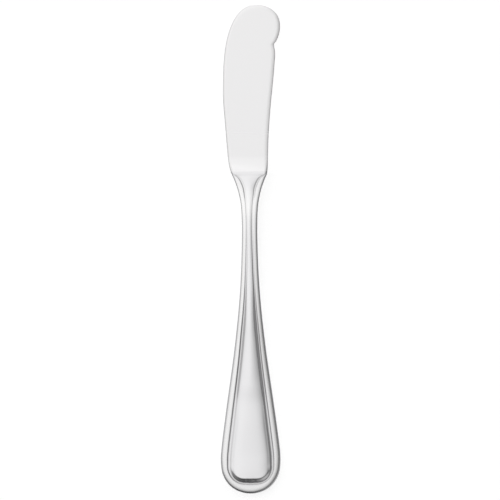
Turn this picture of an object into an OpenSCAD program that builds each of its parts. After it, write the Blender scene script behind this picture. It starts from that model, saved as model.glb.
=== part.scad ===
// Butter knife with a flat handle, made in one piece from a blank of stainless steel.
// The knife lies flat on the raised thread of its handle: +Y runs to the blade's tip, +X to its spine.

/* [Blade] */
// Length of the blade, from the step at its root to its tip
blade_l = 58; // [50:0.5:70]
// Reach of the cutting edge from the knife's axis, at the fullest point of the belly
belly_reach = 9.1; // [8:0.05:10]
// Reach of the spine from the axis, at the small swell behind the notch
spine_reach = 9.2; // [8.5:0.05:10.5]
// Reach of the rounded tip from the axis, on the spine's side
lobe_reach = 10.95; // [10.5:0.05:12.5]
// Thickness of the blade at its root, beside the spine
blade_root_t = 1.9; // [1.6:0.05:2.3]
// Thickness of the blade at its tip, beside the spine
blade_tip_t = 1.2; // [1:0.05:1.5]
// Width of the band that is ground down to the cutting edge
bevel_w = 0.8; // [0.5:0.05:1.2]
// Fall of that band to the edge, on each face
bevel_h = 0.16; // [0.08:0.01:0.2]
// Width of the soft round along the spine
spine_roll_w = 1.6; // [1:0.05:2.2]
// Fall of the soft round along the spine, on each face
spine_roll_h = 0.16; // [0.08:0.01:0.25]
// Radius of the small round along all of the blade's edges
edge_round = 0.22; // [0.1:0.01:0.3]
// Length of the ramp from the blade up to the step at its root
ramp_l = 5.2; // [3.5:0.1:7]

/* [Handle] */
// Length of the handle with its neck and shoulder, from its end to the step
handle_l = 112; // [95:0.5:130]
// Length of the rounded end, from the end to the handle's widest place
end_round_l = 12.6; // [10:0.1:15]
// Width of the handle at its widest
handle_w = 20.9; // [18:0.1:24]
// Width of the neck
neck_w = 5.5; // [5:0.1:7.5]
// Thickness over the threads at the handle's end
end_t = 2.4; // [2.2:0.05:3]
// Thickness over the threads at the neck
neck_t = 4; // [3.4:0.05:4.8]
// Thickness of the shoulder at the step
shoulder_t = 2.9; // [2.5:0.05:3.3]

/* [Pattern] */
// Width of the raised thread along the handle's broad part
thread_w = 2.3; // [1.9:0.05:2.5]
// Width of the thread's long round towards the outline
bead_w = 1.9; // [1.4:0.05:2.2]
// Fall of that long round
bead_h = 0.33; // [0.2:0.01:0.45]
// Width of the smaller round right at the outline
rim_w = 0.6; // [0.4:0.05:0.8]
// Fall of that smaller round
rim_h = 0.17; // [0.08:0.01:0.25]
// Width of the steep wall from the thread down to the groove
wall_w = 0.24; // [0.16:0.02:0.36]
// Depth of the groove at its deepest
groove_d = 0.5; // [0.35:0.05:0.6]
// Width of the groove's floor
groove_w = 0.3; // [0.2:0.02:0.44]
// Width of the panel's sloping side
side_w = 1.05; // [0.8:0.05:1.2]
// Rise of the panel's side from the groove, at its highest
side_h = 0.45; // [0.3:0.05:0.5]
// Rise of the crowned panel on the upper face
crown_h = 0.38; // [0.2:0.02:0.5]

/* [Hidden] */

// Mesh rows from one outline point to the next, as [points, rows] from the handle's end to the tip:
// the round end, the handle's side, the neck, the shoulder, the blade and the round tip
row_groups = [[7, 3], [10, 1], [1, 2], [7, 4], [8, 2], [8, 3]];
panel_columns = 12;
corner = panel_columns / 2;

// Rounded end of the handle from its middle, as [half width share, along share of end_round_l]
end_shares = [[0, 0], [0.212, 0.017], [0.459, 0.084], [0.654, 0.189], [0.798, 0.316], [0.910, 0.479],
    [0.977, 0.670], [1, 1]];
// From there to the step, as [share of the widening over the neck, along share of the shank]
shank_shares = [[0.949, 0.047], [0.848, 0.109], [0.703, 0.192], [0.546, 0.277], [0.393, 0.362],
    [0.239, 0.463], [0.126, 0.554], [0.047, 0.648], [0.002, 0.752], [0, 0.823], [0.036, 0.879],
    [0.108, 0.913], [0.204, 0.942], [0.330, 0.970], [0.428, 0.988]];
// Cutting edge from the step towards the tip, as [reach share, along share of the blade]
belly_shares = [[0.714, 0], [0.780, 0.037], [0.829, 0.091], [0.888, 0.2], [0.939, 0.308],
    [0.994, 0.416], [1, 0.524], [0.980, 0.633], [0.938, 0.705], [0.914, 0.735], [0.889, 0.760],
    [0.852, 0.789], [0.782, 0.831], [0.685, 0.874], [0.560, 0.914], [0.391, 0.951],
    [0.198, 0.978], [-0.025, 0.995]];
// Spine from the step to the notch, as [reach share, along share of the blade]
spine_shares = [[0.678, 0], [0.700, 0.037], [0.710, 0.091], [0.730, 0.2], [0.774, 0.308],
    [0.833, 0.416], [0.905, 0.524], [0.968, 0.633], [1, 0.705], [0.980, 0.735], [0.945, 0.760]];
// Rounded tip from beside the notch, as [reach share of the lobe, along share of the blade]
lobe_shares = [[0.897, 0.789], [0.976, 0.831], [1, 0.877], [0.961, 0.917], [0.868, 0.950],
    [0.693, 0.979], [0.501, 0.994]];
tip_share = 0.290;

// Sizes of the pattern along the handle, as [along share, share of the size]: width of the thread, depth
// of the groove, width of the groove and the panel's side, rise of that side, crown, and thread's rounds
thread_shares = [[0, 1.35], [0.005, 1.23], [0.018, 1.06], [0.045, 0.94], [0.065, 0.94], [0.10, 1],
    [0.15, 1.03], [0.25, 1], [0.33, 0.95], [0.45, 0.80], [0.50, 0.73], [0.60, 0.69], [0.75, 0.62],
    [0.88, 0.66], [0.925, 0.76], [0.95, 0.88], [0.965, 0.86], [0.975, 0.79], [0.981, 0.70],
    [0.986, 0.48], [0.9905, 0.15], [0.995, 0.06], [1, 0.05]];
depth_shares = [[0, 0.75], [0.06, 0.5], [0.13, 0.75], [0.28, 0.85], [0.35, 1], [0.42, 0.95], [0.48, 0.8],
    [0.54, 0.5], [0.60, 0.25], [0.66, 0.1], [0.75, 0.07], [0.90, 0.08], [0.95, 0.2], [0.985, 0.2],
    [0.993, 0]];
width_shares = [[0, 1.25], [0.02, 1.15], [0.05, 1.1], [0.10, 1.2], [0.20, 1.2], [0.26, 1.1], [0.33, 1],
    [0.37, 1], [0.49, 1], [0.54, 0.9], [0.60, 0.65], [0.65, 0.5], [0.92, 0.5], [0.96, 0.7], [1, 0.7]];
side_shares = [[0, 0.9], [0.01, 0.88], [0.03, 0.78], [0.06, 0.6], [0.20, 0.6], [0.28, 0.58], [0.34, 1],
    [0.50, 1], [0.54, 0.9], [0.60, 0.6], [0.66, 0.33], [0.72, 0.25], [0.80, 0.19], [0.90, 0.15],
    [0.95, 0.25], [0.98, 0.2], [0.993, 0]];
crown_shares = [[0, 1], [0.20, 1], [0.28, 0.88], [0.36, 0.92], [0.42, 0.72], [0.48, 0.52], [0.54, 0.4],
    [0.62, 0.25], [0.70, 0.13], [0.90, 0.1], [0.93, 0.12], [0.96, 0.22], [0.985, 0.18], [1, 0]];
round_shares = [[0, 0.85], [0.04, 1], [0.40, 1], [0.55, 0.85], [0.75, 0.65], [1, 0.6]];
// Along share of the handle where it is thickest
neck_share = 0.86;

// Lines across the thread, as shares of its width, and across the blade's edges, as shares of its round
thread_line_shares = [0, 0, 0.12, 0.35, 0.65, 0.96];
blade_line_shares = [0, 0, 0.08, 0.2, 0.35, 0.5, 0.65, 0.8, 0.9, 1];
lines = len(blade_line_shares);
foot_line = len(thread_line_shares);
floor_line = foot_line + 1;
side_line = foot_line + 2;
panel_line = foot_line + 3;
// Share of the handle's half width that the lines may reach inwards, where the neck is narrow
reach_share = 0.92;
// Longer slope of the panel's end, as a share
end_slope_share = 0.25;
// Depth of the lower face's flat panel under the thread, as a share of the groove's depth
low_share = 0.3;
// The crown is round where the panel is narrow and flatter on top where it is wide. It begins to change at
// this half width, a share of the handle's width, and has changed at twice that. Then the curves' powers.
round_crown_share = 0.145;
round_power = 2;
flat_power = 5;
// Where the lines of the pattern turn round the handle's end and the blade's tip
end_turn_share = 0.9;
tip_turn_share = 0.8;
// Where the two edges of the blade begin to grow alike, towards the tip
tip_blend_share = 0.88;
// Thickness of the blade beside the cutting edge, as a share of that beside the spine
edge_share = 0.45;
// Share of the blade's half thickness that its small round may take
round_limit_share = 0.8;
// Powers of the curves of the ramp at the blade's root and of the ground band
ramp_power = 1.8;
bevel_power = 1.3;

neck_y = neck_share * handle_l;
shank_l = handle_l - end_round_l;
knife_l = handle_l + blade_l;
widening = (handle_w - neck_w) / 2;

function mix(a, b, t) = a + (b - a) * t;
function limit(t) = min(max(t, 0), 1);
function ease(t) = let(s = limit(t)) s * s * (3 - 2 * s);
function fall(t) = pow(1 - limit(t), 2);

// Slope of the smooth curve through a table's rows at row i: level at the ends and at each turn
function slope_at(table, i) =
    i == 0 || i == len(table) - 1 ? 0 : let(
        before = (table[i][1] - table[i - 1][1]) / (table[i][0] - table[i - 1][0]),
        after = (table[i + 1][1] - table[i][1]) / (table[i + 1][0] - table[i][0]))
        before * after > 0 ? 2 * before * after / (before + after) : 0;

// A table's share at a place, on a smooth curve through its rows
function share_at(table, x, i = 0) =
    x <= table[0][0] ? table[0][1] :
    i == len(table) - 1 ? table[i][1] :
    x >= table[i + 1][0] ? share_at(table, x, i + 1) : let(
        span = table[i + 1][0] - table[i][0],
        t = (x - table[i][0]) / span,
        bend = slope_at(table, i) * (1 - t) - slope_at(table, i + 1) * t)
        mix(table[i][1], table[i + 1][1], ease(t)) + t * (1 - t) * span * bend;

// Points of the outline: up the spine's side, round the tip and down the edge's side
handle_points = [
    for (p = end_shares) [p[0] * handle_w / 2, p[1] * end_round_l],
    for (p = shank_shares) [neck_w / 2 + p[0] * widening, end_round_l + p[1] * shank_l]];
tip_point = [tip_share * lobe_reach, knife_l];
outline_points = [
    for (p = handle_points) p,
    for (p = spine_shares) [p[0] * spine_reach, handle_l + p[1] * blade_l],
    for (p = lobe_shares) [p[0] * lobe_reach, handle_l + p[1] * blade_l],
    tip_point,
    for (i = [len(belly_shares) - 1:-1:0])
        [-belly_shares[i][0] * belly_reach, handle_l + belly_shares[i][1] * blade_l],
    for (i = [len(handle_points) - 1:-1:1]) [-handle_points[i][0], handle_points[i][1]]];
outline_count = len(outline_points);
notch = len(handle_points) + len(spine_shares) - 1;

// A smooth curve through four points, at t from 0 to 1 between the middle two
function smooth(a, b, c, d, t) =
    b + t * ((c - a) + t * ((2 * a - 5 * b + 4 * c - d) + t * (3 * b - a - 3 * c + d))) / 2;

// The outline from point i to the next, with a sharp corner at the notch
function outline_at(i, t) = smooth(
    outline_points[i == notch ? i : (i - 1 + outline_count) % outline_count],
    outline_points[i],
    outline_points[(i + 1) % outline_count],
    outline_points[i + 1 == notch ? notch : (i + 2) % outline_count], t);

// The mesh's rows end on the outline: as many on the spine's side as on the edge's side
row_counts = [for (g = row_groups, i = [1:g[0]]) g[1]];
loop_points = [
    for (i = [0:outline_count - 1]) let(n = row_counts[min(i, outline_count - 1 - i)])
        for (s = [0:n - 1]) outline_at(i, s / n)];
round_count = len(loop_points);
rows = round_count / 2;
mid_x = (max([for (p = loop_points) p[0]]) + min([for (p = loop_points) p[0]])) / 2;

// Height of the knife's mid plane over the table: a straight line along the whole knife
function mid_z(y) = mix(end_t / 2, neck_t / 2, y / neck_y);

// Half thickness over the threads and over the shoulder
function half_t(y) = y <= neck_y ? mid_z(y) :
    mix(neck_t, shoulder_t, ease((y - neck_y) / (handle_l - neck_y))) / 2;

// Sizes of the pattern at a place along the handle
function thread(y) = thread_w * share_at(thread_shares, y / handle_l);
function groove(y) = groove_d * share_at(depth_shares, y / handle_l);
function spread(y) = share_at(width_shares, y / handle_l);
function floor_inset(y) = thread(y) + wall_w + groove_w * spread(y);
function panel_inset(y) = floor_inset(y) + side_w * spread(y);

// Half width at an outline point, as if the handle had no rounded end, and how much of their own distance
// the lines keep there
function half_width(p) = p[1] < end_round_l ? handle_w / 2 : abs(p[0]);
function keep(p) = min(1, reach_share * half_width(p) / panel_inset(max(p[1], end_round_l)));
function panel_half(p) = half_width(p) - keep(p) * panel_inset(max(p[1], end_round_l));

// Height of the panel over the mid plane: crowned above, flat and under the thread below
function panel_up(p, x, y, up) = let(
    half = panel_half(p),
    power = mix(round_power, flat_power, ease(half / (round_crown_share * handle_w) - 1)),
    crown = crown_h * share_at(crown_shares, y / handle_l) * (1 - pow(limit(abs(x) / half), power)))
    half_t(y) + (up ? side_h * share_at(side_shares, y / handle_l) + crown - groove(y)
        : -low_share * groove(y));

// Height of the blade over the mid plane: ground thinner towards its edge, with the ramp up to the step
function blade_up(x, y) = let(
    flat = mix(blade_root_t, blade_tip_t, limit((y - handle_l) / blade_l)) / 2,
    across = limit((x + belly_reach) / (belly_reach + spine_reach)))
    mix(flat * mix(edge_share, 1, across), shoulder_t / 2,
        pow(1 - limit((y - handle_l) / ramp_l), ramp_power));

// How far the rounds of the thread, of the cutting edge and of the spine fall, at an inset from the outline
function bead(inset, y) = let(size = share_at(round_shares, y / handle_l))
    size * (bead_h * fall(inset / (size * bead_w)) + rim_h * fall(inset / (size * rim_w)));
function bevel(inset) = bevel_h * pow(1 - limit(inset / bevel_w), bevel_power);
function spine_roll(inset) = spine_roll_h * fall(inset / spine_roll_w);
function rounded(up, inset) = let(r = min(edge_round, round_limit_share * up))
    up - r * (1 - sqrt(1 - fall(inset / r)));

// Point on the axis that the lines of the pattern draw in towards, from an outline point
function target(p) =
    [tip_point[0] * limit((p[1] - handle_l) / blade_l),
     min(max(p[1], end_turn_share * end_round_l), handle_l + tip_turn_share * blade_l)];

// How far line k lies inside the outline, on the handle
function handle_inset(p, k) = let(
    y = p[1],
    end = y < end_round_l ? 1 - pow(p[0] / (handle_w / 2), 2) : 0,
    across = k < side_line ? 0 : k == side_line ? 1 / 2 : 1)
    keep(p) * (k < foot_line ? thread_line_shares[k] * thread(y) :
        k == foot_line ? thread(y) + wall_w :
        floor_inset(y) + across * side_w * spread(y) * (1 + end_slope_share * end));

// Height of each line over the mid plane, on the handle and on the blade
function handle_up(p, q, k, inset, up) = let(
    top = half_t(q[1]) - bead(inset, p[1]),
    floor = top - groove(p[1]),
    panel = panel_up(p, q[0], q[1], up))
    k < foot_line ? top : k < side_line ? floor : k == side_line ? (floor + panel) / 2 : panel;
function blade_edge_up(p, q, inset, bladed, spine) = let(
    edge = mix(bevel(inset), spine_roll(inset), spine),
    up = blade_up(q[0], q[1]) - mix(bead(inset, p[1]), edge, bladed))
    mix(up, rounded(up, inset), bladed);

// One point of the surface: line k inside outline point i, on the upper or the lower face
function surface_point(i, k, up) = let(
    p = loop_points[i],
    along = (p[1] - handle_l) / blade_l,
    spine = i <= rows ? 1 : ease((along - tip_blend_share) / (1 - tip_blend_share)),
    bladed = ease((p[1] - handle_l) / ramp_l),
    inward = (target(p) - p) / norm(target(p) - p),
    inset = mix(handle_inset(p, k), blade_line_shares[k] * spine_roll_w, bladed),
    q = p + inward * inset,
    h = k == 0 ? 0 : p[1] < handle_l ? handle_up(p, q, k, inset, up)
        : blade_edge_up(p, q, inset, bladed, spine))
    [q[0], q[1], mid_z(q[1]) + (up ? h : -h)];

// One point inside the last line, between its two sides. At both ends of the knife the grid's first row
// follows that line round the end, from corner to corner.
function panel_point(i, j, up) = let(
    a = surface_point(round_count - i, panel_line, up),
    b = surface_point(i, panel_line, up),
    q = mix(a, b, j / panel_columns),
    h = q[1] < handle_l ? panel_up(loop_points[i], q[0], q[1], up) : blade_up(q[0], q[1]))
    [q[0], q[1], mid_z(q[1]) + (up ? h : -h)];

// All points: the outline, then for each face its lines and the inside of its panel
line_count = (lines - 1) * round_count;
grid_rows = rows - 2 * corner;
face_count = line_count + (grid_rows - 1) * (panel_columns - 1);
function face_points(up) = [
    for (k = [1:lines - 1], i = [0:round_count - 1]) surface_point(i, k, up),
    for (i = [1:grid_rows - 1], j = [1:panel_columns - 1]) panel_point(corner + i, j, up)];

// Places of the points in that list
function line_at(k, i, face) = let(n = i % round_count)
    k == 0 ? n : round_count + face * face_count + (k - 1) * round_count + n;
function panel_at(i, j, face) =
    i == 0 ? line_at(panel_line, round_count + j - corner, face) :
    i == grid_rows ? line_at(panel_line, rows + corner - j, face) :
    j == 0 ? line_at(panel_line, round_count - corner - i, face) :
    j == panel_columns ? line_at(panel_line, corner + i, face) :
    round_count + face * face_count + line_count + (i - 1) * (panel_columns - 1) + j - 1;

// Triangles of one face, turned outwards
function turned(t, face) = face == 0 ? [t[2], t[1], t[0]] : t;
function face_triangles(face) = [
    for (k = [0:lines - 2], i = [0:round_count - 1]) let(
        a = line_at(k, i, face), b = line_at(k, i + 1, face),
        c = line_at(k + 1, i + 1, face), d = line_at(k + 1, i, face))
        each [turned([a, b, c], face), turned([a, c, d], face)],
    for (i = [0:grid_rows - 1], j = [0:panel_columns - 1]) let(
        a = panel_at(i, j, face), b = panel_at(i, j + 1, face),
        c = panel_at(i + 1, j + 1, face), d = panel_at(i + 1, j, face))
        each [turned([a, b, c], face), turned([a, c, d], face)]];

module butter_knife()
    color("gainsboro")
    translate([-mid_x, -knife_l / 2, 0])
    polyhedron(
        points = [
            for (i = [0:round_count - 1]) surface_point(i, 0, true),
            each face_points(true), each face_points(false)],
        faces = [each face_triangles(0), each face_triangles(1)]);

butter_knife();
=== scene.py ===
import math

import bmesh
import bpy
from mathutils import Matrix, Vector


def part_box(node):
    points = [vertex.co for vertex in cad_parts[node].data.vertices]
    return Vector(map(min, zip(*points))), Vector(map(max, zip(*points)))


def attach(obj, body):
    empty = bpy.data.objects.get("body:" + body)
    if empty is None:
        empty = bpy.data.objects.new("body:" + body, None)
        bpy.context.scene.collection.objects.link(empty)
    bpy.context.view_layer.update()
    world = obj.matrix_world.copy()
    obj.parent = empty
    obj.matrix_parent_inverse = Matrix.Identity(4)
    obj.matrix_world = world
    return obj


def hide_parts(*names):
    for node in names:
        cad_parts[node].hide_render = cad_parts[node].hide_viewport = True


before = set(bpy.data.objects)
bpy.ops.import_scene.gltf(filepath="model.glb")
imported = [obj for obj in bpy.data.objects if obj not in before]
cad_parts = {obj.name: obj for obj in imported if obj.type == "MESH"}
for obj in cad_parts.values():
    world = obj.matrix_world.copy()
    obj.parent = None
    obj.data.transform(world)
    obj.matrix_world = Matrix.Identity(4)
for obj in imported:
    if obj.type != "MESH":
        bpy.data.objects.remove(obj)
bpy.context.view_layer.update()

# The knife
# The knife is one blank of stainless steel. Its blade was rolled thin, its outline was stamped out, and its
# handle was coined between two dies, which pressed the raised thread, the groove beside it and the crowned
# panel into both faces. Grinding blended the blade into the shoulder, and then the whole knife was polished.
mm = 0.001
knife_low, knife_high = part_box("butter_knife")
knife_l = (knife_high.y - knife_low.y) / mm
blade_l = 58
handle_l = knife_l - blade_l
handle_w = 20.9
end_round_l = 12.6
neck_w = 5.5
neck_share = 0.86
neck_y = neck_share * handle_l
shank_l = handle_l - end_round_l
widening = (handle_w - neck_w) / 2
belly_reach = 9.1
spine_reach = 9.2
lobe_reach = 10.95

# Thicknesses over the thread, at the step and on the flat of the blade
neck_t = 4
end_t = 2.4
shoulder_t = 2.9
blade_root_t = 1.9
blade_tip_t = 1.2


def mix(a, b, t):
    return a + (b - a) * t


def limit(t):
    return min(max(t, 0), 1)


def ease(t):
    return limit(t) ** 2 * (3 - 2 * limit(t))


def slope_at(table, i):
    """Slope of the smooth curve through a table's rows, at row i: level at the ends and at each turn."""
    if i in (0, len(table) - 1):
        return 0
    (x0, a), (x1, b), (x2, c) = table[i - 1:i + 2]
    before, after = (b - a) / (x1 - x0), (c - b) / (x2 - x1)
    return 2 * before * after / (before + after) if before * after > 0 else 0


def share_at(table, x):
    """A table's share at a place, on a smooth curve through its rows."""
    for i, ((x0, a), (x1, b)) in enumerate(zip(table, table[1:])):
        if x < x1:
            t, span = limit((x - x0) / (x1 - x0)), x1 - x0
            rise, fall = slope_at(table, i) * span, slope_at(table, i + 1) * span
            return mix(a, b, ease(t)) + t * (1 - t) * (rise * (1 - t) - fall * t)
    return table[-1][1]


# The blank's outline: half of the rounded end, the shank, and the two edges of the blade, as shares
end_shares = [(0, 0), (0.212, 0.017), (0.459, 0.084), (0.654, 0.189), (0.798, 0.316), (0.910, 0.479),
              (0.977, 0.670), (1, 1)]
shank_shares = [(0.949, 0.047), (0.848, 0.109), (0.703, 0.192), (0.546, 0.277), (0.393, 0.362),
                (0.239, 0.463), (0.126, 0.554), (0.047, 0.648), (0.002, 0.752), (0, 0.823), (0.036, 0.879),
                (0.108, 0.913), (0.204, 0.942), (0.330, 0.970), (0.428, 0.988)]
belly_shares = [(0.714, 0), (0.780, 0.037), (0.829, 0.091), (0.888, 0.2), (0.939, 0.308), (0.994, 0.416),
                (1, 0.524), (0.980, 0.633), (0.938, 0.705), (0.914, 0.735), (0.889, 0.760), (0.852, 0.789),
                (0.782, 0.831), (0.685, 0.874), (0.560, 0.914), (0.391, 0.951), (0.198, 0.978),
                (-0.025, 0.995)]
spine_shares = [(0.678, 0), (0.700, 0.037), (0.710, 0.091), (0.730, 0.2), (0.774, 0.308), (0.833, 0.416),
                (0.905, 0.524), (0.968, 0.633), (1, 0.705), (0.980, 0.735), (0.945, 0.760)]
lobe_shares = [(0.897, 0.789), (0.976, 0.831), (1, 0.877), (0.961, 0.917), (0.868, 0.950), (0.693, 0.979),
               (0.501, 0.994)]
tip_share = 0.290

handle_side = [(a * handle_w / 2, b * end_round_l) for a, b in end_shares]
handle_side += [(neck_w / 2 + a * widening, end_round_l + b * shank_l) for a, b in shank_shares]
spine_side = [(a * spine_reach, handle_l + b * blade_l) for a, b in spine_shares]
lobe_side = [(a * lobe_reach, handle_l + b * blade_l) for a, b in lobe_shares]
belly_side = [(-a * belly_reach, handle_l + b * blade_l) for a, b in belly_shares]
tip_point = (tip_share * lobe_reach, knife_l)
corners = handle_side + spine_side + lobe_side + [tip_point] + belly_side[::-1]
corners += [(-x, y) for x, y in handle_side[:0:-1]]
notch = len(handle_side) + len(spine_side) - 1


def outline_at(i, t):
    """The outline between corner i and the next, as a smooth curve that is sharp only at the notch."""
    n = len(corners)
    b, c = Vector(corners[i]), Vector(corners[(i + 1) % n])
    a = b if i == notch else Vector(corners[i - 1])
    d = c if i + 1 == notch else Vector(corners[(i + 2) % n])
    return b + t * ((c - a) + t * ((2 * a - 5 * b + 4 * c - d) + t * (3 * b - a - 3 * c + d))) / 2


# How far apart the mesh's rows lie: close round both ends and near the step
end_spacing = 0.55
step_spacing = 0.4
side_spacing = 1.15
round_tip_share = 0.72
step_reach = 6


def spacing_at(y):
    if y < end_round_l or y > handle_l + round_tip_share * blade_l:
        return end_spacing
    return step_spacing if abs(y - handle_l) < step_reach else side_spacing


outline = []
for i in range(len(corners)):
    pair = min(i, len(corners) - 1 - i)
    other = len(corners) - 1 - pair
    sides = [(Vector(corners[k]), Vector(corners[(k + 1) % len(corners)])) for k in (pair, other)]
    longest = max((b - a).length for a, b in sides)
    steps = max(2, round(longest / spacing_at(sides[0][0].y)))
    outline += [outline_at(i, s / steps) for s in range(steps)]
rows = len(outline) // 2

# The coined pattern, from the outline inwards: the rounded thread, a wall down to the groove, and the side of
# the crowned panel. Each table gives shares of a size at shares of the handle's length.
thread_w = 2.3
thread_shares = [(0, 1.35), (0.005, 1.23), (0.018, 1.06), (0.045, 0.94), (0.065, 0.94), (0.10, 1),
                 (0.15, 1.03), (0.25, 1), (0.33, 0.95), (0.45, 0.80), (0.50, 0.73), (0.60, 0.69),
                 (0.75, 0.62), (0.88, 0.66), (0.925, 0.76), (0.95, 0.88), (0.965, 0.86), (0.975, 0.79),
                 (0.981, 0.70), (0.986, 0.48), (0.9905, 0.15), (0.995, 0.06), (1, 0.05)]
bead_w = 1.9
bead_h = 0.33
rim_w = 0.6
rim_h = 0.17
round_shares = [(0, 0.85), (0.04, 1), (0.40, 1), (0.55, 0.85), (0.75, 0.65), (1, 0.6)]
wall_w = 0.2
groove_d = 0.5
depth_shares = [(0, 0.75), (0.06, 0.5), (0.13, 0.75), (0.28, 0.85), (0.35, 1), (0.42, 0.95), (0.48, 0.8),
                (0.54, 0.5), (0.60, 0.25), (0.66, 0.1), (0.75, 0.07), (0.90, 0.08), (0.95, 0.2),
                (0.985, 0.2), (0.993, 0)]
groove_w = 0.32
side_w = 1.05
side_h = 0.45
width_shares = [(0, 1.25), (0.02, 1.15), (0.05, 1.1), (0.10, 1.2), (0.20, 1.2), (0.26, 1.1), (0.33, 1),
                (0.37, 1), (0.49, 1), (0.54, 0.9), (0.60, 0.65), (0.65, 0.5), (0.92, 0.5), (0.96, 0.7),
                (1, 0.7)]
side_shares = [(0, 0.9), (0.01, 0.88), (0.03, 0.78), (0.06, 0.6), (0.20, 0.6), (0.28, 0.58), (0.34, 1),
               (0.50, 1), (0.54, 0.9), (0.60, 0.6), (0.66, 0.33), (0.72, 0.25), (0.80, 0.19), (0.90, 0.15),
               (0.95, 0.25), (0.98, 0.2), (0.993, 0)]
crown_h = 0.38
crown_shares = [(0, 1), (0.20, 1), (0.28, 0.88), (0.36, 0.92), (0.42, 0.72), (0.48, 0.52), (0.54, 0.4),
                (0.62, 0.25), (0.70, 0.13), (0.90, 0.1), (0.93, 0.12), (0.96, 0.22), (0.985, 0.18), (1, 0)]

# The crown is round where the panel is narrow and flatter on top where its half width nears crown_wide. There
# it also has a slight ridge. The lower face's panel lies under the thread, by a share of the groove's depth.
crown_wide = 6
round_power = 2
flat_power = 5
ridge_wide = 4
ridge_share = 0.22
ridge_round_share = 0.12
least_half = 0.3
low_share = 0.3


def mid_z(y):
    return mix(end_t / 2, neck_t / 2, y / neck_y)


def half_t(y):
    """Half thickness over the thread and the shoulder."""
    if y <= neck_y:
        return mid_z(y)
    return mix(neck_t, shoulder_t, ease((y - neck_y) / (handle_l - neck_y))) / 2


def thread(y):
    return thread_w * share_at(thread_shares, y / handle_l)


past_step = 1
right_side = [p for p in outline[:rows] if p.y <= handle_l + past_step]


def half_width(y):
    """Half width of the handle, as if it had no rounded end."""
    if y < end_round_l:
        return handle_w / 2
    for a, b in zip(right_side, right_side[1:]):
        if a.y <= y <= b.y:
            return mix(a.x, b.x, (y - a.y) / (b.y - a.y))
    return right_side[-1].x


def panel_inset(y):
    """How far inside the outline the panel's edge lies."""
    return thread(y) + wall_w + (groove_w + side_w) * share_at(width_shares, y / handle_l)


def panel_half(y):
    return max(half_width(y) - panel_inset(max(y, end_round_l)), least_half)


def groove_down(y):
    """Depth of the groove under the thread."""
    return groove_d * share_at(depth_shares, y / handle_l)


def panel_up(x, y, face):
    """Height of the crowned panel over the mid plane. The lower face's panel is flat, under the thread."""
    y = min(y, handle_l)
    if face < 0:
        return half_t(y) - low_share * groove_down(y)
    half = panel_half(y)
    power = mix(round_power, flat_power, ease(2 * half / crown_wide - 1))
    across = limit(abs(x) / half)
    ridge = 1 - math.sqrt(across ** 2 + ridge_round_share ** 2) + ridge_round_share
    crown = mix(1 - across ** power, ridge, ridge_share * ease(half / ridge_wide))
    crown *= crown_h * share_at(crown_shares, y / handle_l)
    return half_t(y) - groove_down(y) + side_h * share_at(side_shares, y / handle_l) + crown


# The blade: ground thinner towards its edge, bevelled there, rolled off along its spine and rounded all round
edge_share = 0.45
ramp_l = 5.2
ramp_power = 1.8
edge_round = 0.22
round_limit_share = 0.8
spine_roll_w = 1.6
spine_roll_h = 0.16
bevel_w = 0.8
bevel_h = 0.16
bevel_power = 1.3


def blade_up(x, y):
    """Height of the blade's flat over the mid plane, with the ramp up to the step at its root."""
    along = limit((y - handle_l) / blade_l)
    across = limit((x + belly_reach) / (belly_reach + spine_reach))
    flat = mix(blade_root_t, blade_tip_t, along) / 2 * mix(edge_share, 1, across)
    return mix(flat, shoulder_t / 2, (1 - limit((y - handle_l) / ramp_l)) ** ramp_power)


def bead(inset, y):
    """How far the thread's two rounds fall towards the outline."""
    size = share_at(round_shares, y / handle_l)
    long_round = bead_h * (1 - limit(inset / (size * bead_w))) ** 2
    return size * (long_round + rim_h * (1 - limit(inset / (size * rim_w))) ** 2)


def blade_edge_up(q, y, inset, bladed, spine):
    """Height of the blade near the outline, where it is bevelled or rolled off, and rounded."""
    bevel = bevel_h * (1 - limit(inset / bevel_w)) ** bevel_power
    roll = spine_roll_h * (1 - limit(inset / spine_roll_w)) ** 2
    up = blade_up(q.x, q.y) - mix(bead(inset, y), mix(bevel, roll, spine), bladed)
    radius = min(edge_round, round_limit_share * up)
    return up - bladed * radius * (1 - math.sqrt(1 - (1 - limit(inset / radius)) ** 2))


# Lines of the section, from the outline inwards. The first rise up the edge, as shares of its height. Then
# come shares of the thread's width, places beside the wall's top with shares of its depth, shares across the
# panel's side and of its rise, and distances into the panel. On the blade they are distances from its edge.
edge_lines = [0, 0.6, 0.94]
rim_lines = [0.03, 0.09, 0.18, 0.30, 0.45, 0.62, 0.80]
wall_lines = [(-0.08, 0), (0.01, 0.08), (0.19, 0.94), (0.28, 1)]
side_lines = [(0, 0), (0.25, 0.13), (0.5, 0.5), (0.75, 0.85), (1, 1)]
panel_lines = [0.35, 0.8]
blade_lines = [0, 0, 0, 0.02, 0.05, 0.1, 0.17, 0.25, 0.36, 0.5, 0.7, 0.95, 1.2, 1.5, 1.8, 2.1, 2.4, 2.7, 3,
               3.3, 3.6]
line_count = len(edge_lines + rim_lines + wall_lines + side_lines + panel_lines)

# How far in the wall may start, the longer slope of the panel's end, where the lines turn round the handle's
# end and the blade's tip, and where the blade's two edges begin to grow alike
wall_start_share = 0.9
end_slope_share = 0.25
end_turn_share = 0.9
tip_turn_share = 0.8
tip_blend_share = 0.88


def end_share(p):
    """How much an outline point belongs to the middle of the handle's round end."""
    return 1 - (p.x / (handle_w / 2)) ** 2 if p.y < end_round_l else 0


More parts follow.
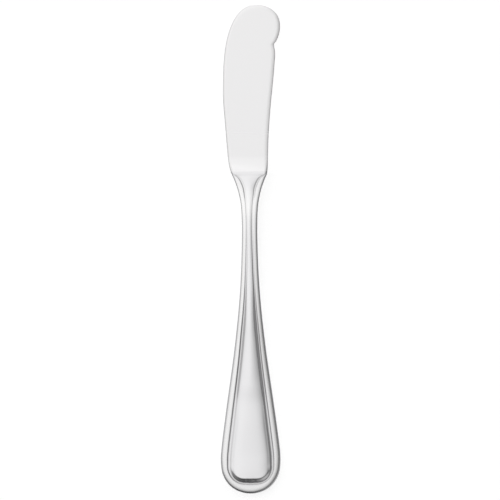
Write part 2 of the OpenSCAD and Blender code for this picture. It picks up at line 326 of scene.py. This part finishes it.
def line_inset(p, line):
    """How far inside the outline a line of the handle's section lies."""
    line -= len(edge_lines)
    if line < 0:
        return 0
    if line < len(rim_lines):
        return rim_lines[line] * thread(p.y)
    line -= len(rim_lines)
    if line < len(wall_lines):
        return max(thread(p.y) + wall_lines[line][0], wall_start_share * thread(p.y))
    line -= len(wall_lines)
    scale = share_at(width_shares, p.y / handle_l)
    side = side_w * scale * (1 + end_slope_share * end_share(p))
    start = thread(p.y) + wall_w + groove_w * scale
    if line < len(side_lines):
        return start + side_lines[line][0] * side
    return start + side + panel_lines[line - len(side_lines)] * scale


def surface_point(i, line, face):
    """A point of the surface: so many lines inside outline point i, on the upper or the lower face."""
    p = outline[i]
    along = (p.y - handle_l) / blade_l
    target = Vector((tip_point[0] * limit(along),
                     min(max(p.y, end_turn_share * end_round_l), handle_l + tip_turn_share * blade_l)))
    inward = (target - p).normalized()
    bladed = ease((p.y - handle_l) / ramp_l)
    spine = 1 if i <= rows else ease((along - tip_blend_share) / (1 - tip_blend_share))
    inset = mix(line_inset(p, line), blade_lines[line], bladed)
    q = p + inward * inset
    if p.y >= handle_l:
        up = blade_edge_up(q, p.y, inset, bladed, spine)
    else:
        up = half_t(q.y) - bead(inset, p.y)
        n = line - len(edge_lines) - len(rim_lines)
        groove_up = up - groove_down(p.y)
        if n >= len(wall_lines):
            n -= len(wall_lines)
            share = side_lines[n][1] if n < len(side_lines) else 1
            up = mix(groove_up, panel_up(q.x, q.y, face), share)
        elif n >= 0:
            up = mix(up, groove_up, wall_lines[n][1])
    if line < len(edge_lines):
        up *= edge_lines[line]
    return Vector((q.x, q.y, mid_z(q.y) + face * up))


# Marks that the finish follows: the dull line in the groove, which is darkened further as painted shade, the
# worn crest of the thread, the satin blade, and a painted highlight that lightens the neck. Those of groove
# and crest are given from their first line inwards.
mark_names = ("groove", "crest", "satin", "neck_highlight")
groove_line = len(edge_lines) + len(rim_lines)
# The groove's marks darken it as dull steel and also as painted shade in the hollow
groove_dull_and_shade_marks = [0.3, 1, 1, 0.9, 0.35]
crest_marks = [0.5, 1, 1, 0.7]
crest_line = groove_line - len(crest_marks)
# Along the handle, how much the groove is dulled and darkened as painted shade
groove_dull_and_shade_shares = [(0, 0.8), (0.03, 0.65), (0.055, 0.42), (0.25, 0.45), (0.35, 0.8), (0.55, 0.7), (0.70, 0.45),
               (0.78, 0.28), (0.84, 0.08), (0.91, 0.05), (0.93, 0.3), (0.985, 0.3), (0.995, 0)]
# A painted highlight lightens the neck, most where these shares are highest
neck_highlight_shares = [(0.76, 0), (0.84, 0.5), (0.89, 1), (0.93, 0.6), (0.97, 0)]
satin_blend_w = 1.2


def line_mark(marks, line):
    """The mark of a line in a list, or none past the list's ends."""
    return marks[line] if 0 <= line < len(marks) else 0


def set_marks(vertex, mesh, line):
    """Writes the marks of a vertex on a line of the section into the mesh."""
    y = vertex.co.y
    # The groove's mark is dull steel and painted shade
    groove = line_mark(groove_dull_and_shade_marks, line - groove_line) * share_at(groove_dull_and_shade_shares, limit(y / handle_l))
    crest = line_mark(crest_marks, line - crest_line) * (1 - ease((y - handle_l) / ramp_l + 1))
    satin = ease((y - handle_l) / satin_blend_w + 0.5)
    # The neck's mark is a painted highlight
    neck_highlight = share_at(neck_highlight_shares, y / handle_l)
    for name, mark in zip(mark_names, (groove, crest, satin, neck_highlight)):
        vertex[mesh.verts.layers.float[name]] = mark


bpy.ops.object.select_all(action="DESELECT")
bpy.ops.mesh.primitive_circle_add(vertices=len(outline), radius=handle_w / 2)
knife = bpy.context.object
knife.name = knife.data.name = "knife"
bpy.ops.object.mode_set(mode="EDIT")
bpy.ops.mesh.select_mode(type="VERT")
blank = bmesh.from_edit_mesh(knife.data)
blank.verts.layers.int.new("place")
for name in mark_names:
    blank.verts.layers.float.new(name)
place = blank.verts.layers.int["place"]
for vertex in blank.verts:
    vertex[place] = vertex.index
    vertex.co = surface_point(vertex.index, 0, 1)
    set_marks(vertex, blank, 0)

# Each face grows inwards from the outline, line by line, and a grid closes it
panel_columns = 8
grid_corner = panel_columns // 2
for face in (1, -1):
    blank = bmesh.from_edit_mesh(knife.data)
    blank.verts.ensure_lookup_table()
    for vertex in blank.verts:
        vertex.select = vertex.index < len(outline)
    blank.select_flush(True)
    blank.select_flush(False)
    for line in range(1, line_count):
        bpy.ops.mesh.extrude_edges_move()
        blank = bmesh.from_edit_mesh(knife.data)
        place = blank.verts.layers.int["place"]
        for vertex in blank.verts:
            if vertex.select:
                vertex.co = surface_point(vertex[place], line, face)
                set_marks(vertex, blank, line)
    blank.verts.ensure_lookup_table()
    made = len(blank.verts)
    place = blank.verts.layers.int["place"]
    start = next(v for v in blank.verts if v.select and v[place] == len(outline) - grid_corner)
    blank.select_history.clear()
    blank.select_history.add(start)
    bpy.ops.mesh.fill_grid(span=panel_columns, offset=0)
    blank = bmesh.from_edit_mesh(knife.data)
    place = blank.verts.layers.int["place"]
    blank.verts.ensure_lookup_table()
    ring = {v[place]: v.co.copy() for v in blank.verts[made - len(outline):made]}
    for n, vertex in enumerate(blank.verts[made:]):
        column, row = divmod(n, rows - 2 * grid_corner - 1)
        right, left = ring[grid_corner + 1 + row], ring[len(outline) - grid_corner - 1 - row]
        x, y, _ = right.lerp(left, (column + 1) / panel_columns)
        up = panel_up(x, y, face) if y < handle_l else blade_up(x, y)
        vertex.co = (x, y, mid_z(y) + face * up)
        set_marks(vertex, blank, line_count)
bpy.ops.mesh.select_all(action="SELECT")
bpy.ops.mesh.normals_make_consistent(inside=False)
bpy.ops.object.mode_set(mode="OBJECT")

knife.scale = (mm, mm, mm)
knife.location = (knife_low.x + handle_w / 2 * mm, knife_low.y, knife_low.z)
bpy.ops.object.transform_apply(location=True, rotation=False, scale=True)
subdivision = knife.modifiers.new("smooth", "SUBSURF")
subdivision.levels = subdivision.render_levels = 1
bpy.ops.object.modifier_apply(modifier=subdivision.name)
bpy.ops.object.shade_smooth()

# The finish: fine lines along the handle from a buffing wheel, a satin face across the blade from a belt, a
# dull line in the groove where the wheel doesn't reach, darkened further as painted shade, a brighter thread
# where hands rub, and a painted highlight that lightens the neck
steel = bpy.data.materials.new("polished_steel")
steel.use_nodes = True
nodes, links = steel.node_tree.nodes, steel.node_tree.links
shader = nodes["Principled BSDF"]
shader.inputs["Metallic"].default_value = 1
texture_place = nodes.new("ShaderNodeTexCoord")


def polishing_lines():
    """A group that makes the fine lines of a polishing wheel or belt, drawn out along one direction."""
    group = bpy.data.node_groups.new("polishing_lines", "ShaderNodeTree")
    sockets = group.interface
    sockets.new_socket("Vector", in_out="INPUT", socket_type="NodeSocketVector")
    sockets.new_socket("Lines", in_out="OUTPUT", socket_type="NodeSocketFloat")
    sockets.new_socket("Patches", in_out="OUTPUT", socket_type="NodeSocketFloat")
    made, wired = group.nodes, group.links
    given, put_out = made.new("NodeGroupInput"), made.new("NodeGroupOutput")
    fine = made.new("ShaderNodeTexNoise")
    fine.inputs["Scale"].default_value = 1
    fine.inputs["Detail"].default_value = 1.5
    coarse = made.new("ShaderNodeTexNoise")
    coarse.inputs["Scale"].default_value = 0.05
    coarse.inputs["Detail"].default_value = 2
    for noise, name in ((fine, "Lines"), (coarse, "Patches")):
        wired.new(given.outputs["Vector"], noise.inputs["Vector"])
        wired.new(noise.outputs["Fac"], put_out.inputs[name])
    return group


lines_group = polishing_lines()


def finish(scale, turn):
    """Places the polishing lines, so many to the metre across and along, at a turn."""
    stretch = nodes.new("ShaderNodeMapping")
    stretch.inputs["Scale"].default_value = scale
    stretch.inputs["Rotation"].default_value = (0, 0, turn)
    links.new(texture_place.outputs["Object"], stretch.inputs["Vector"])
    lines = nodes.new("ShaderNodeGroup")
    lines.node_tree = lines_group
    links.new(stretch.outputs[0], lines.inputs["Vector"])
    return lines


def mark(name):
    """The mask that the mesh carries under that name."""
    node = nodes.new("ShaderNodeAttribute")
    node.attribute_name = name
    return node.outputs["Fac"]


def blend(kind, factor, a, b):
    """A Mix node of colours or numbers, with plain values or other nodes' outputs put in."""
    node = nodes.new("ShaderNodeMix")
    node.data_type = kind
    first = {"FLOAT": 2, "RGBA": 6}[kind]
    for socket, value in ((node.inputs[0], factor), (node.inputs[first], a), (node.inputs[first + 1], b)):
        if isinstance(value, (int, float, tuple)):
            socket.default_value = value
        else:
            links.new(value, socket)
    return node.outputs[{"FLOAT": 0, "RGBA": 2}[kind]]


worn_crest = (0.87, 0.865, 0.865, 1)
# The neck's colour is a painted highlight
painted_neck_highlight = (0.93, 0.925, 0.925, 1)
# Dull steel in the groove, darkened further as painted shade
dull_and_shaded_groove = (0.5, 0.49, 0.49, 1)
buffed = finish((5000, 300, 5000), 0)
satin = finish((160, 5000, 5000), math.radians(3))
on_blade = mark("satin")
bright_steel = blend("RGBA", buffed.outputs["Patches"], (0.835, 0.83, 0.84, 1), (0.855, 0.85, 0.86, 1))
blade_steel = blend("RGBA", satin.outputs["Patches"], (0.88, 0.874, 0.878, 1), (0.884, 0.878, 0.882, 1))
colour = blend("RGBA", on_blade, bright_steel, blade_steel)
colour = blend("RGBA", mark("crest"), colour, worn_crest)
# A painted highlight lightens the neck
colour = blend("RGBA", mark("neck_highlight"), colour, painted_neck_highlight)
# The groove is dulled and darkened further as painted shade
colour = blend("RGBA", mark("groove"), colour, dull_and_shaded_groove)
links.new(colour, shader.inputs["Base Color"])
bright = blend("FLOAT", buffed.outputs["Patches"], 0.2, 0.23)
dull = blend("FLOAT", satin.outputs["Patches"], 0.268, 0.276)
roughness = blend("FLOAT", on_blade, bright, dull)
roughness = blend("FLOAT", mark("crest"), roughness, 0.19)
roughness = blend("FLOAT", mark("groove"), roughness, 0.4)
links.new(roughness, shader.inputs["Roughness"])
faint = blend("FLOAT", 0.2, 0.5, satin.outputs["Lines"])
height = blend("FLOAT", on_blade, buffed.outputs["Lines"], faint)
bump = nodes.new("ShaderNodeBump")
bump.inputs["Strength"].default_value = 0.5
bump.inputs["Distance"].default_value = 0.0012 * mm
links.new(height, bump.inputs["Height"])
links.new(bump.outputs["Normal"], shader.inputs["Normal"])
knife.data.materials.append(steel)
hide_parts("butter_knife")
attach(knife, "root")

# The floor
# A plain white tabletop, wide enough to run out of view on all sides. It is lifted to white where it is seen
# or mirrored, and the knife's shadow still falls on it.
floor_size = 12
floor_gap = 0.02 * mm
floor_lift = 0.64
bpy.ops.object.select_all(action="DESELECT")
bpy.ops.mesh.primitive_plane_add(size=floor_size, location=(0, 0, knife_low.z - floor_gap))
floor = bpy.context.object
floor.name = "floor"
white = bpy.data.materials.new("white_floor")
white.use_nodes = True
nodes, links = white.node_tree.nodes, white.node_tree.links
nodes.clear()
output = nodes.new("ShaderNodeOutputMaterial")
diffuse = nodes.new("ShaderNodeBsdfDiffuse")
diffuse.inputs["Color"].default_value = (0.7, 0.7, 0.7, 1)
lift = nodes.new("ShaderNodeEmission")
rays = nodes.new("ShaderNodeLightPath")
seen = nodes.new("ShaderNodeMath")
seen.operation = "MAXIMUM"
links.new(rays.outputs["Is Camera Ray"], seen.inputs[0])
links.new(rays.outputs["Is Glossy Ray"], seen.inputs[1])
amount = nodes.new("ShaderNodeMath")
amount.operation = "MULTIPLY"
amount.inputs[1].default_value = floor_lift
links.new(seen.outputs[0], amount.inputs[0])
links.new(amount.outputs[0], lift.inputs["Strength"])
both = nodes.new("ShaderNodeAddShader")
links.new(diffuse.outputs[0], both.inputs[0])
links.new(lift.outputs[0], both.inputs[1])
links.new(both.outputs[0], output.inputs["Surface"])
floor.data.materials.append(white)

# The light
# A wide soft light hangs over the table, a little to the left and behind, with a brighter strip farther back.
# The room around it is pale behind and dark in front, with a weak glow low down on the left and on the right.
world = bpy.data.worlds.new("studio")
bpy.context.scene.world = world
world.use_nodes = True
nodes, links = world.node_tree.nodes, world.node_tree.links
nodes.clear()
output = nodes.new("ShaderNodeOutputWorld")
background = nodes.new("ShaderNodeBackground")
background.inputs["Color"].default_value = (1, 1, 1, 1)
links.new(background.outputs[0], output.inputs["Surface"])
sky_place = nodes.new("ShaderNodeTexCoord")


def along(direction, low, high, low_value, high_value, smooth=True):
    """A value that changes with how far a direction of the sky points along the given one."""
    dot = nodes.new("ShaderNodeVectorMath")
    dot.operation = "DOT_PRODUCT"
    dot.inputs[1].default_value = Vector(direction).normalized()
    links.new(sky_place.outputs["Generated"], dot.inputs[0])
    level = nodes.new("ShaderNodeMapRange")
    level.interpolation_type = "SMOOTHSTEP" if smooth else "LINEAR"
    for name, value in (("From Min", low), ("From Max", high), ("To Min", low_value), ("To Max", high_value)):
        level.inputs[name].default_value = value
    links.new(dot.outputs["Value"], level.inputs["Value"])
    return level.outputs[0]


def added(first, second):
    """The sum of two values."""
    total = nodes.new("ShaderNodeMath")
    total.operation = "ADD"
    links.new(first, total.inputs[0])
    links.new(second, total.inputs[1])
    return total.outputs[0]


room = along((-0.3, 0.95, 0), -0.5, 1, 0.07, 0.84)
low_left = along((-0.8, -0.6, 0), 0.7, 1, 0, 0.2)
low_right = along((0.75, -0.65, 0.2), 0.6, 1, 0, 0.45)
room = added(added(room, low_left), low_right)
lamp = along((-0.16, 0.07, 1), 0.80, 1.0, 0, 1, smooth=False)
glow = along((-0.15, 1, 0), 0.02, 0.4, 1.07, 1.16)
sky = nodes.new("ShaderNodeMix")
sky.data_type = "FLOAT"
links.new(lamp, sky.inputs["Factor"])
links.new(room, sky.inputs["A"])
links.new(glow, sky.inputs["B"])
strip = along((0, 0.545, 0.839), 0.965, 1, 0, 0.35)
links.new(added(sky.outputs["Result"], strip), background.inputs["Strength"])

# The camera
# It looks straight down from far away, turned by the small angle at which the knife leans in the picture. The
# view's width is measured at the height of the knife's upper face.
view_w = 173.73 * mm
view_z = 3 * mm
view_x = -0.16 * mm
view_y = -0.237 * mm
lens = 250
camera_data = bpy.data.cameras.new("camera")
camera_data.lens = lens
camera_data.sensor_width = 36
camera = bpy.data.objects.new("camera", camera_data)
bpy.context.scene.collection.objects.link(camera)
distance = view_w * lens / camera_data.sensor_width
camera.location = (view_x, view_y, view_z + distance)
camera.rotation_euler = (0, 0, math.radians(-0.26))
bpy.context.scene.camera = camera

bpy.context.scene.view_settings.view_transform = "Standard"
